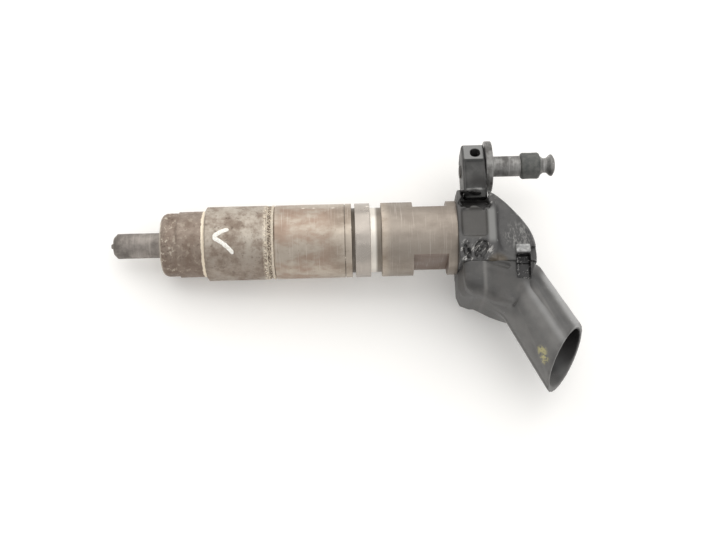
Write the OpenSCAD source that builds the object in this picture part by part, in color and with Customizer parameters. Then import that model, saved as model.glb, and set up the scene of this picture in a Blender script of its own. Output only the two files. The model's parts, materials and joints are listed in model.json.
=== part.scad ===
// Piezo common-rail fuel injector, as an assembly of its separate pieces.
// Frame: +X runs along the injector from nozzle to head, +Y points to the return block, and
// +Z faces the viewer. The origin is on the axis, at the sealing face of the retaining nut.
// Units are millimetres.

/* [Nozzle] */
// radius of the nozzle shank
shank_r = 3.5; // [2.5:0.05:4.5]
// how far the shank's cylinder stands out of the nut
shank_out = 12.6; // [8:0.1:20]
// length of the chamfered end beyond the shank
tip_len = 1; // [0.5:0.1:3]
// length of the small cone at the very tip
nub_len = 0.9; // [0.3:0.1:2]
// radius of the nozzle's collar inside the nut
nozzle_collar_r = 6.85; // [5.5:0.05:8]
// radius of the needle's guided part
needle_r = 2; // [1.5:0.05:2.5]
// number of spray holes
spray_holes = 7; // [5:1:9]

/* [Retaining nut] */
// radius of the nut's flat front face
nose_r = 7.6; // [7:0.05:7.9]
// radius of the nut's stepped front part
nut_front_r = 9.15; // [8:0.05:10]
// radius of the nut's main part
nut_r = 10.35; // [9:0.05:12]
// position of the step along the axis
nut_step_x = 12.4; // [8:0.1:16]
// rear end of the nut
nut_end_x = 29.5; // [24:0.1:34]

/* [Injector body] */
// radius of the body
body_r = 10.3; // [9:0.05:12]
// front of the body's full diameter
body_front_x = 31.4; // [30:0.1:34]
// front edge of the thin scored line
line_x = 50.8; // [48:0.1:52]
// front edge of the narrow seal groove
groove_a_x = 52.8; // [45:0.1:56]
// width of the narrow groove
groove_a_w = 0.9; // [0.5:0.1:3]
// front edge of the wide seal groove
groove_b_x = 57.9; // [56:0.1:60]
// width of the wide groove
groove_b_w = 3.1; // [2:0.1:5]
// depth of both grooves
groove_depth = 1.3; // [0.5:0.1:2]
// front end of the clamp slot
slot_x = 69.7; // [64:0.1:74]
// length of the clamp slot
slot_len = 9.5; // [6:0.1:14]
// distance across the two clamp flats
across_flats = 13.9; // [12:0.1:18]
// radius of the shoulder behind the slot
shoulder_r = 10.35; // [9.5:0.05:12]

/* [Head] */
// where the plastic head starts
head_x = 81.8; // [80:0.1:84]
// half the head's thickness
head_half_t = 10.8; // [10:0.1:14]
// plane where the cap meets the connector moulding
seam_y = -9.6; // [-10:0.1:-4]
// radius of the cap's domed end
dome_r = 20.3; // [18:0.1:25]
// outer radius of the connector shroud where it leaves the head
shroud_r = 7.9; // [6:0.1:10]
// outer radius of the connector shroud at its mouth
mouth_r = 9; // [7.5:0.1:10]
// inner radius of the connector shroud
socket_r = 6.6; // [4:0.1:8]
// angle between the shroud and the injector axis
shroud_angle = 60.6; // [40:0.1:90]
// how far the shroud's mouth is cut away from square
mouth_angle = 33; // [0:1:45]
// how far the mouth is turned towards the viewer
mouth_roll = 37; // [0:1:45]

/* [Return connection] */
// height of the return nipple above the axis
nipple_y = 20.9; // [15:0.1:26]
// radius of the nipple's tube
nipple_r = 2.9; // [2:0.05:4]
// radius of the nipple's flange
flange_r = 7.3; // [5:0.05:7.5]
// radius of the rubber sleeve on the nipple
sleeve_r = 3.75; // [3:0.05:5]
// radius of the hole in the block's slanted face
block_hole_r = 1.35; // [0.8:0.05:2]

/* [High-pressure inlet] */
// position of the inlet along the axis
inlet_x = 88; // [84:0.1:92]
// radius of the inlet's thread
inlet_r = 6; // [5:0.05:8]
// how far the inlet's end is from the axis
inlet_reach = 17; // [14:0.1:30]

/* [Hidden] */
// roundness of the curved faces
$fn = 96;
// small gap between pieces of one rigid group
seat = 0.03;
// amount a cutter passes through a face
eps = 0.1;

// places of the plates stacked inside the nut
nozzle_seat_x = 2;
nozzle_collar_len = 8;
orifice_x = nozzle_seat_x + nozzle_collar_len;
orifice_t = 2.6;
valve_x = orifice_x + orifice_t;
valve_t = 5.4;
body_nose_x = valve_x + valve_t;
nut_bore_r = nozzle_collar_r + 0.05;
thread_r = 8;
thread_start_x = 19;
dowel_r = 0.7;
dowel_y = 5.6;

// width and depth of the scored line
line_w = 0.25;

// oilways
feed_z = -5.9;
feed_r = 0.6;
feed_slant = 23.5;

// needle, its seat and its spring
needle_lift = 0.25;
sac_r = 0.35;
seat_len = 3;
needle_body_r = 1.65;
guide_x = 1.8;
guide_len = 4.6;
control_pin_r = 1;
spring_r = 1.45;
spring_wire_r = 0.25;

// control valve and hydraulic coupler
valve_r = 1;
valve_piston_r = 2.2;
coupler_r = 4.5;
coupler_x = 21;
coupler_len = 14;
coupler_piston_r = 3.9;
coupler_piston_x = 32.2;
coupler_piston_len = 5.6;

// piezo actuator
actuator_r = 5;
actuator_x = 37;
stack_x = 42.6;
stack_len = 36.25;
stack_side = 5.4;
tube_r = 4.45;
tube_wall = 0.35;
foot_x = 78.9;
foot_len = 5;
foot_stem_r = 3.1;
foot_stem_len = 3.5;
foot_seal_r = 0.8;
body_rear_x = 94;
body_rear_r = 9.3;
rear_taper_x = 92;
rear_end_r = 8.1;
lead_room_len = 4.3;
lead_room_r = 6.8;
clamp_ring_x = 85.6;
clamp_ring_len = 5;

// head outline
head_top_y = 11.8;
dome_x = 82.9;
dome_y = -7.6;
head_round = 4;
lower_left_y = -18.3;
corner_r = 3.6;
skin = 0.05;
pocket_x = 97.2;
pocket_len = 3.8;
pocket_z = 6.4;

// connector shroud: a point on its axis, and the ends of the barrel along it
shroud_base_x = 92.8;
shroud_base_y = -4.5;
barrel_start = 9;
barrel_end = 46;
mouth_at = 35.1;
socket_floor = 21;
blade_w = 2.8;
blade_t = 0.8;
blade_gap = 4;
blade_len = 13;

// leads from the actuator foot to the terminal pins
lead_y = 2;
lead_r = 0.45;
lead_bend_x = 95.2;
function lead_end(side) = [
    shroud_base_x + (socket_floor - 7.9) * cos(shroud_angle) + side * blade_gap / 2 * sin(shroud_angle),
    shroud_base_y - (socket_floor - 7.9) * sin(shroud_angle) + side * blade_gap / 2 * cos(shroud_angle)
];

// return block and nipple
block_x = 84.3;
block_len = 6.6;
block_foot_y = 9.7;
block_top_y = 26.25;
block_half_t = 6;
bevel_y = 21.2;
bevel_z = 3.7;
bevel_tilt = atan((block_half_t - bevel_z) / (block_top_y - bevel_y));
passage_r = 1.2;
flange_t = 1.9;
sleeve_x = 101.2;
sleeve_len = 5.4;
lip_x = 109;
lip_r = 3.1;
neck_r = 2.1;
nipple_end_x = 110.9;

// a round bar along +X
module bar(x, length, r) {
    translate([x, 0, 0])
        rotate([0, 90, 0])
            cylinder(h = length, r = r);
}

// a cone or taper along +X
module taper(x, length, r1, r2) {
    translate([x, 0, 0])
        rotate([0, 90, 0])
            cylinder(h = length, r1 = r1, r2 = r2);
}

// a round ring along +X
module ring(x, length, r_out, r_in) {
    difference() {
        bar(x, length, r_out);
        bar(x - eps, length + 2 * eps, r_in);
    }
}

// a coil spring along +X: a tube swept round the axis
module coil(x, length, r, wire_r, turns) {
    sides = 6;
    per_turn = 16;
    rings = turns * per_turn;
    points = [
        for (i = [0 : rings])
            for (j = [0 : sides - 1])
                let (
                    a = 360 * i / per_turn,
                    b = 360 * j / sides,
                    rho = r + wire_r * cos(b)
                )
                [
                    x + wire_r + (length - 2 * wire_r) * i / rings + wire_r * sin(b),
                    rho * cos(a),
                    rho * sin(a)
                ]
    ];
    walls = [
        for (i = [0 : rings - 1])
            for (j = [0 : sides - 1])
                [
                    i * sides + j,
                    i * sides + (j + 1) % sides,
                    (i + 1) * sides + (j + 1) % sides,
                    (i + 1) * sides + j
                ]
    ];
    front = [[for (j = [0 : sides - 1]) sides - 1 - j]];
    back = [[for (j = [0 : sides - 1]) rings * sides + j]];
    polyhedron(points = points, faces = concat(front, walls, back), convexity = 10);
}

// places its children with +X along the connector shroud's axis
module along_shroud() {
    translate([shroud_base_x, shroud_base_y, 0])
        rotate([0, 0, -shroud_angle])
            children();
}

// everything past the shroud's slanted mouth
module beyond_mouth() {
    along_shroud()
        translate([mouth_at, 0, 0])
            rotate([mouth_roll, 0, 0])
                rotate([0, 0, mouth_angle])
                    translate([0, -30, -30])
                        cube([30, 60, 60]);
}

// the oilway and the two dowel holes through a plate inside the nut
module plate_holes(x, thickness) {
    translate([0, 0, feed_z])
        bar(x - eps, thickness + 1, feed_r);
    for (side = [-1, 1])
        translate([0, side * dowel_y, 0])
            bar(x - eps, thickness + 1, dowel_r + 0.02);
}

// a round lead in the XY plane from one point to another, with rounded ends
module rod(a, b, r) {
    translate([a[0], a[1], 0])
        union() {
            rotate([0, 0, atan2(b[1] - a[1], b[0] - a[0])])
                bar(0, norm(b - a), r);
            sphere(r = 1.1 * r, $fn = 32);
            translate([b[0] - a[0], b[1] - a[1], 0])
                sphere(r = 1.1 * r, $fn = 32);
        }
}

// the two actuator leads: straight out of the foot, then down to the terminal pins
module leads(r) {
    for (side = [-1, 1]) {
        rod([foot_x + 1.2, side * lead_y], [lead_bend_x, side * lead_y], r);
        rod([lead_bend_x, side * lead_y], lead_end(side), r);
    }
}

// NOZZLE

module nozzle_body() {
    color("dimgray")
        difference() {
            union() {
                taper(-shank_out - tip_len - nub_len, nub_len + 0.01, 0.55, 1.05);
                taper(-shank_out - tip_len, tip_len, shank_r - 1, shank_r);
                bar(-shank_out, shank_out, shank_r);
                bar(-eps, nozzle_seat_x + 1, shank_r - 0.2);
                bar(nozzle_seat_x, nozzle_collar_len - seat, nozzle_collar_r);
            }
            bar(-shank_out - 0.7, 1, sac_r);
            taper(-shank_out, seat_len + 0.01, sac_r, needle_r + 0.02);
            bar(-shank_out + seat_len, 60, needle_r + 0.02);
            for (i = [0 : spray_holes - 1])
                rotate([360 * i / spray_holes, 0, 0])
                    translate([-shank_out - 0.25, 0, 0])
                        rotate([0, -15, 0])
                            cylinder(h = 5, r = 0.09, $fn = 16);
            translate([orifice_x, 0, feed_z])
                rotate([0, feed_slant, 0])
                    bar(-11, 12, feed_r);
            for (side = [-1, 1])
                translate([0, side * dowel_y, 0])
                    bar(orifice_x - 3, 10, dowel_r + 0.02);
        }
}

module nozzle_needle() {
    color("silver")
        union() {
            taper(-shank_out + 0.3, 2.1, sac_r + 0.14, needle_body_r);
            bar(-shank_out + 2.39, guide_x + shank_out - 2.38, needle_body_r);
            bar(guide_x, guide_len, needle_r);
            bar(guide_x + guide_len - eps, orifice_x - guide_x - guide_len - needle_lift, control_pin_r);
        }
}

module needle_spring() {
    color("gray")
        coil(guide_x + guide_len + seat, 2.5, spring_r, spring_wire_r, 3);
}

module needle_spring_seat() {
    color("darkgray")
        ring(orifice_x - 0.95, 0.9, needle_r - 0.04, control_pin_r + 0.1);
}

module orifice_plate() {
    color("slategray")
        difference() {
            bar(orifice_x, orifice_t - seat, nozzle_collar_r);
            bar(orifice_x - eps, orifice_t + 1, 0.3);
            plate_holes(orifice_x, orifice_t);
        }
}

module valve_plate() {
    color("slategray")
        difference() {
            bar(valve_x, valve_t - seat, nozzle_collar_r);
            bar(valve_x - eps, 2.1, 2);
            bar(valve_x, valve_t + 1, valve_r + 0.02);
            plate_holes(valve_x, valve_t);
        }
}

module plate_dowels() {
    color("lightgray")
        for (side = [-1, 1])
            translate([0, side * dowel_y, 0])
                bar(orifice_x - 2.9, 2.8 + orifice_t + valve_t, dowel_r);
}

module control_valve() {
    color("silver")
        union() {
            bar(valve_x + 1.35, 0.6, 1.6);
            bar(valve_x + 1.4, 4.4, valve_r);
        }
}

module valve_spring() {
    color("gray")
        coil(valve_x + 0.05, 1.25, 1.3, 0.2, 2);
}

// RETAINING NUT AND BODY

module retaining_nut() {
    color("rosybrown")
        difference() {
            union() {
                taper(0, 0.5, nose_r, nose_r + 0.7);
                taper(0.49, 1.02, nose_r + 0.7, nose_r + 1.2);
                bar(1.5, 3.08, nose_r + 1.2);
                bar(4.5, nut_step_x - 4.5, nut_front_r);
                taper(nut_step_x - 0.3, 0.9, nut_front_r, nut_r);
                bar(nut_step_x + 0.5, nut_end_x - nut_step_x - 0.5, nut_r);
            }
            bar(-eps, 3, shank_r + 0.2);
            bar(nozzle_seat_x, 40, nut_bore_r);
            bar(thread_start_x, 40, thread_r + 0.03);
        }
}

module injector_body() {
    color("silver")
        difference() {
            union() {
                bar(body_nose_x, 3, nozzle_collar_r);
                bar(body_nose_x + 2.4, body_front_x - body_nose_x - 2.4, thread_r);
                bar(nut_end_x + 0.1, body_front_x - nut_end_x, 9.8);
                taper(body_front_x, 0.4, body_r - 0.4, body_r);
                bar(body_front_x + 0.4, slot_x + slot_len - body_front_x - 0.4, body_r);
                bar(slot_x + slot_len, head_x - slot_x - slot_len, shoulder_r);
                bar(head_x - 0.2, rear_taper_x - head_x + 0.2, body_rear_r);
                taper(rear_taper_x - 0.01, body_rear_x - rear_taper_x + 0.01, body_rear_r, rear_end_r);
            }
            ring(line_x, line_w, body_r + 1, body_r - line_w);
            ring(groove_a_x, groove_a_w, body_r + 1, body_r - groove_depth);
            ring(groove_b_x, groove_b_w, body_r + 1, body_r - groove_depth);
            for (side = [-1, 1])
                translate([slot_x, side > 0 ? across_flats / 2 : -across_flats / 2 - 10, -15])
                    cube([slot_len, 10, 30]);
            bar(body_nose_x - eps, 4, valve_piston_r + 0.02);
            bar(coupler_x, 40, coupler_r + seat);
            bar(actuator_x - 0.3, 70, actuator_r);
            translate([0, 0, feed_z])
                bar(body_nose_x - eps, inlet_x - body_nose_x, feed_r);
            translate([inlet_x, 0, -body_rear_r - 1])
                cylinder(h = 2.2 + eps, r = inlet_r - 1);
            translate([inlet_x - feed_r, 0, -body_rear_r])
                cylinder(h = body_rear_r + feed_z, r = feed_r);
        }
}

// CONTROL VALVE DRIVE

module valve_piston() {
    color("lightsteelblue")
        bar(body_nose_x + 0.42, 12.2, valve_piston_r);
}

module coupler_sleeve() {
    color("steelblue")
        difference() {
            bar(coupler_x + seat, coupler_len, coupler_r);
            bar(coupler_x - eps, 11, valve_piston_r + 0.02);
            bar(coupler_x + 10, 20, coupler_piston_r + 0.02);
        }
}

module coupler_piston() {
    color("lightsteelblue")
        bar(coupler_piston_x, coupler_piston_len, coupler_piston_r);
}

module coupler_spring() {
    color("gray")
        coil(coupler_x + coupler_len + 0.15, 4.9, 4.22, 0.22, 4);
}

// PIEZO ACTUATOR

module actuator_head() {
    color("lightgray")
        union() {
            bar(coupler_piston_x + coupler_piston_len + seat, 3.2, 2.4);
            bar(stack_x - 2.4, 2.3, tube_r);
        }
}

module piezo_stack() {
    color("olivedrab")
        translate([stack_x, -stack_side / 2, -stack_side / 2])
            cube([stack_len, stack_side, stack_side]);
}

module actuator_tube() {
    color("goldenrod")
        ring(stack_x, stack_len, tube_r, tube_r - tube_wall);
}

module actuator_foot() {
    color("lightgray")
        difference() {
            union() {
                bar(foot_x, foot_len, actuator_r - 0.05);
                bar(foot_x + foot_len - 0.2, foot_stem_len, foot_stem_r);
            }
            for (side = [-1, 1])
                translate([0, side * lead_y, 0])
                    bar(foot_x - eps, 10, lead_r + 0.1);
        }
}

module foot_seal() {
    color("black")
        translate([clamp_ring_x - 0.85, 0, 0])
            rotate([0, 90, 0])
                rotate_extrude()
                    translate([(actuator_r + foot_stem_r) / 2, 0])
                        circle(r = foot_seal_r, $fn = 24);
}

module actuator_clamp_ring() {
    color("darkgray")
        ring(clamp_ring_x, clamp_ring_len, actuator_r - 0.05, foot_stem_r + 0.1);
}

module terminal_leads() {
    color("firebrick")
        leads(lead_r);
}

// HIGH-PRESSURE INLET

module inlet_stub() {
    color("gray")
        translate([inlet_x, 0, 0])
            difference() {
                union() {
                    translate([0, 0, -inlet_reach + 0.8])
                        cylinder(h = inlet_reach - head_half_t - 0.9, r = inlet_r);
                    translate([0, 0, -head_half_t - 0.2])
                        cylinder(h = head_half_t - 9.2, r = inlet_r - 0.2);
                    translate([0, 0, -inlet_reach])
                        cylinder(h = 0.81, r1 = inlet_r - 0.8, r2 = inlet_r);
                    translate([0, 0, -body_rear_r - 1])
                        cylinder(h = 2, r = inlet_r - 1.05);
                }
                translate([0, 0, -inlet_reach - eps])
                    cylinder(h = 20, r = 1.25);
                translate([0, 0, -inlet_reach - 0.01])
                    cylinder(h = 2.5, r1 = 3.7, r2 = 1.25);
            }
}

module inlet_filter() {
    color("goldenrod")
        translate([inlet_x, 0, -inlet_reach + 3])
            difference() {
                cylinder(h = 5, r = 1.2);
                translate([0, 0, 0.8])
                    cylinder(h = 5, r = 0.7);
            }
}

// HEAD

// the head's rounded section, as an extrusion along +X
module head_bar(x, length, y_low, y_high, half_t, r) {
    translate([x, 0, 0])
        rotate([90, 0, 90])
            linear_extrude(height = length)
                union() {
                    translate([y_low + r, -half_t])
                        square([y_high - y_low - 2 * r, 2 * half_t]);
                    translate([y_low, -half_t + r])
                        square([y_high - y_low, 2 * half_t - 2 * r]);
                    for (y = [y_low + r, y_high - r])
                        for (z = [-half_t + r, half_t - r])
                            translate([y, z])
                                circle(r = r);
                }
}

// the space for the steel body's rear end and the leads
module head_hollow() {
    bar(head_x - eps, rear_taper_x - head_x + eps + skin, body_rear_r + skin);
    taper(rear_taper_x + skin - 0.01, lead_room_len, body_rear_r + skin, lead_room_r);
    translate([inlet_x, 0, -30])
        cylinder(h = 25, r = inlet_r + 0.1);
    leads(lead_r + skin);
    translate([pocket_x, seam_y - 5, pocket_z])
        cube([pocket_len, 6.8, 20]);
}

module head_cap() {
    color([0.22, 0.22, 0.23])
        difference() {
            intersection() {
                union() {
                    head_bar(head_x, 10.2, -24, head_top_y, head_half_t, head_round);
                    head_bar(head_x + 7, 30, -24, head_top_y + 4, head_half_t - 1.2, head_round + 2);
                }
                translate([dome_x, dome_y, -20])
                    cylinder(h = 40, r = dome_r);
                translate([head_x, seam_y, -20])
                    cube([40, 40, 40]);
            }
            translate([dome_x + 9.4, 14.3, -20])
                cube([20, 10, 40]);
            head_hollow();
            translate([block_x - 0.1, block_foot_y - 0.05, -block_half_t - 0.05])
                cube([block_len + 0.2, 20, 2 * block_half_t + 0.1]);
        }
}

module connector_housing() {
    color([0.2, 0.2, 0.21])
        difference() {
            union() {
                intersection() {
                    head_bar(head_x, 26, lower_left_y - 5, 10, head_half_t - 0.4, head_round);
                    translate([0, 0, -20])
                        linear_extrude(height = 40)
                            union() {
                                polygon([
                                    [head_x, seam_y - skin],
                                    [head_x, lower_left_y + corner_r],
                                    [head_x + corner_r, lower_left_y],
                                    [86.6, lower_left_y],
                                    [91.3, lower_left_y - 2.6],
                                    [96, lower_left_y - 4.7],
                                    [102.5, -11],
                                    [103, seam_y - skin]
                                ]);
                                translate([head_x + corner_r, lower_left_y + corner_r])
                                    circle(r = corner_r);
                            }
                }
                intersection() {
                    along_shroud()
                        taper(barrel_start, barrel_end - barrel_start, shroud_r, mouth_r);
                    translate([80, -70, -20])
                        cube([60, 70 + seam_y - skin, 40]);
                }
            }
            beyond_mouth();
            head_hollow();
            along_shroud()
                bar(socket_floor, 60, socket_r);
            for (side = [-1, 1])
                along_shroud()
                    translate([socket_floor - 8, side * blade_gap / 2 - blade_t / 2 - seat, -blade_w / 2 - seat])
                        cube([20, blade_t + 2 * seat, blade_w + 2 * seat]);
        }
}

module terminal_pins() {
    color("gold")
        for (side = [-1, 1])
            along_shroud()
                translate([socket_floor - 7.5, side * blade_gap / 2 - blade_t / 2, -blade_w / 2])
                    cube([blade_len, blade_t, blade_w]);
}

module connector_latch() {
    color([0.26, 0.26, 0.27])
        translate([pocket_x, seam_y + 1.9, head_half_t - 1.2 + seat])
            cube([pocket_len, 2.2, 1.1]);
}

// RETURN CONNECTION

module return_block() {
    color([0.24, 0.24, 0.24])
        difference() {
            translate([block_x, 0, 0])
                rotate([90, 0, 90])
                    linear_extrude(height = block_len)
                        polygon([
                            [block_foot_y, -block_half_t],
                            [block_top_y - 2, -block_half_t],
                            [block_top_y, -block_half_t + 3],
                            [block_top_y, bevel_z],
                            [bevel_y, block_half_t],
                            [block_foot_y, block_half_t]
                        ]);
            translate([block_x + 1, nipple_y, 0])
                rotate([0, 90, 0])
                    cylinder(h = block_len, r = passage_r);
            translate([block_x - eps, nipple_y - 1.4, 0])
                rotate([0, 90, 0])
                    cylinder(h = 2.6, r = 1.5);
            translate([block_x + 3.8, (bevel_y + block_top_y) / 2 - 0.4, (bevel_z + block_half_t) / 2])
                rotate([-bevel_tilt, 0, 0])
                    translate([0, 0, -4])
                        cylinder(h = 10, r = block_hole_r);
            translate([block_x + 3.6, block_foot_y - eps, 0])
                rotate([-90, 0, 0])
                    cylinder(h = nipple_y - block_foot_y, r = passage_r - 0.2);
        }
}

module block_plug() {
    color("dimgray")
        translate([block_x - 0.5, nipple_y - 1.4, 0])
            rotate([0, 90, 0])
                union() {
                    cylinder(h = 0.5, r1 = 1.7, r2 = 2);
                    cylinder(h = 2.4, r = 1.48);
                }
}

module return_nipple() {
    color("darkgray")
        translate([0, nipple_y, 0])
            difference() {
                union() {
                    bar(block_x + block_len + seat, flange_t, flange_r);
                    bar(block_x + block_len + flange_t, sleeve_x - block_x - block_len - flange_t, nipple_r);
                    bar(sleeve_x - eps, sleeve_len + 2 * eps, neck_r + 0.4);
                    taper(sleeve_x + sleeve_len, 1, nipple_r, neck_r);
                    bar(sleeve_x + sleeve_len + 0.9, 1.6, neck_r);
                    taper(lip_x - 0.2, 0.9, neck_r, lip_r);
                    bar(lip_x + 0.65, 0.6, lip_r);
                    taper(lip_x + 1.2, nipple_end_x - lip_x - 1.2, lip_r, lip_r - 1.2);
                }
                bar(block_x + block_len - eps, 40, passage_r);
            }
}

module nipple_sleeve() {
    color([0.2, 0.22, 0.21])
        translate([0, nipple_y, 0])
            difference() {
                union() {
                    taper(sleeve_x + 0.02, 0.5, sleeve_r - 0.4, sleeve_r);
                    bar(sleeve_x + 0.5, sleeve_len - 1, sleeve_r);
                    taper(sleeve_x + sleeve_len - 0.52, 0.5, sleeve_r, sleeve_r - 0.4);
                }
                bar(sleeve_x - 1, 10, neck_r + 0.42);
            }
}

nozzle_body();
nozzle_needle();
needle_spring();
needle_spring_seat();
orifice_plate();
valve_plate();
plate_dowels();
control_valve();
valve_spring();
retaining_nut();
injector_body();
valve_piston();
coupler_sleeve();
coupler_piston();
coupler_spring();
actuator_head();
piezo_stack();
actuator_tube();
actuator_foot();
foot_seal();
actuator_clamp_ring();
terminal_leads();
inlet_stub();
inlet_filter();
head_cap();
connector_housing();
terminal_pins();
connector_latch();
return_block();
block_plug();
return_nipple();
nipple_sleeve();
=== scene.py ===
import json
import math

import bmesh
import bpy
import numpy as np
from mathutils import Matrix, Vector, noise


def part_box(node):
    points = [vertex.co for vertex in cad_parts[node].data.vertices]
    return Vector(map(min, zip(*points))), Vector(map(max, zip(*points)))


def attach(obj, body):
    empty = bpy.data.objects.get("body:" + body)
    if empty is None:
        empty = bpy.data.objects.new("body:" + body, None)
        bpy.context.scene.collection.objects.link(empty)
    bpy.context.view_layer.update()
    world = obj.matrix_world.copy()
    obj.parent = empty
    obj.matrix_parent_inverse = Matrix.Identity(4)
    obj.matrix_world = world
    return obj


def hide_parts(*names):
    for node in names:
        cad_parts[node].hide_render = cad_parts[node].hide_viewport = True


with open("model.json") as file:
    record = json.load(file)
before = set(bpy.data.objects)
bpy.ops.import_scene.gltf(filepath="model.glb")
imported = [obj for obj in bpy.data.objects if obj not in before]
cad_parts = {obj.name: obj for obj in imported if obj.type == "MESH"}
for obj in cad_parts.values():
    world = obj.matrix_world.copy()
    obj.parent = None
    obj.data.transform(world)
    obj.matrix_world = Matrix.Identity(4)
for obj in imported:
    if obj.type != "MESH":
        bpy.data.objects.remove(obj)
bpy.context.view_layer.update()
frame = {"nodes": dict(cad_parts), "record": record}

# Fuel injector. All sizes and places below are millimetres of the shared frame:
# +X from nozzle to head, +Y to the return block, +Z away from the fuel inlet.
MM = 0.001
NODES = frame["nodes"]


def box(node):
    """A CAD node's lowest and highest corners, in millimetres."""
    low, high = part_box(node)
    return low / MM, high / MM


# PLACES AND SIZES

NUT_HIGH = box("retaining_nut")[1]
BODY_LOW, BODY_HIGH = box("injector_body")
STUB_LOW, STUB_HIGH = box("inlet_stub")
CAP_LOW, CAP_HIGH = box("head_cap")
HOUSING_LOW, HOUSING_HIGH = box("connector_housing")
LATCH_LOW, LATCH_HIGH = box("connector_latch")
BLOCK_LOW, BLOCK_HIGH = box("return_block")
NIPPLE_LOW, NIPPLE_HIGH = box("return_nipple")
SLEEVE_LOW, SLEEVE_HIGH = box("nipple_sleeve")
PLUG_LOW, PLUG_HIGH = box("block_plug")

NUT_R = NUT_HIGH.y
NUT_END = NUT_HIGH.x
NUT_FRONT_R = 9.15
NUT_STEP = 12.4
CRUST_END = 4.58
NUT_FLOOR = 2.0
NUT_SHOULDER = 19.0
NUT_HOLE_R = 3.7
NUT_BORE_R = 6.9
NUT_THREAD_R = 8.03

BODY_R = 10.3
BODY_FRONT = 31.4
BODY_NOSE = (20.4, 6.85)
BODY_THREAD = (29.6, 8.0)
BODY_NECK_R = 9.8
PISTON_BORE = (21.0, 2.22)
SLEEVE_BORE = (36.7, 4.53)
ACTUATOR_BORE_R = 5.0
BODY_END_R = 8.1
HEAD_X = CAP_LOW.x
REAR_R = 9.3
REAR_TAPER = 92.0
SLOT = (69.7, 79.2)
FLAT_Y = 6.95
LINE_X = 50.8
GROOVE_A = (52.8, 53.7)
GROOVE_B = (57.9, 61.0)
GROOVE_DEPTH = 1.3

HEAD_T = CAP_HIGH.z
SEAM_Y = CAP_LOW.y
HOUSING_T = HOUSING_HIGH.z
DOME = (82.9, -7.6, 20.3)
INLET_X = (STUB_LOW.x + STUB_HIGH.x) / 2
INLET_R = STUB_HIGH.y

SHROUD_BASE = np.array([92.8, -4.5, 0.0])
SHROUD_ANGLE = math.radians(60.6)
SHROUD_ALONG = np.array([math.cos(SHROUD_ANGLE), -math.sin(SHROUD_ANGLE), 0.0])
SHROUD_ACROSS = np.array([math.sin(SHROUD_ANGLE), math.cos(SHROUD_ANGLE), 0.0])
SHROUD_R = (7.9, 9.0)
BARREL = (9.0, 46.0)
MOUTH_AT = 35.1
MOUTH_NORMAL = (0.839, 0.435, 0.328)
SOCKET_R = 6.6
SOCKET_MOUTH_R = 7.5
SOCKET_FLOOR = 21.0

NIPPLE_Y = (NIPPLE_LOW.y + NIPPLE_HIGH.y) / 2
BEVEL = (21.2, 3.7)
BEVEL_TILT = math.atan2(BLOCK_HIGH.z - BEVEL[1], BLOCK_HIGH.y - BEVEL[0])


# COLOURS AND MATERIALS

def srgb(red, green, blue):
    """A colour given as 0 to 255, as the linear RGBA that shaders take."""
    def linear(value):
        value /= 255
        return value / 12.92 if value <= 0.04045 else ((value + 0.055) / 1.055) ** 2.4
    return (linear(red), linear(green), linear(blue), 1.0)


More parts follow.
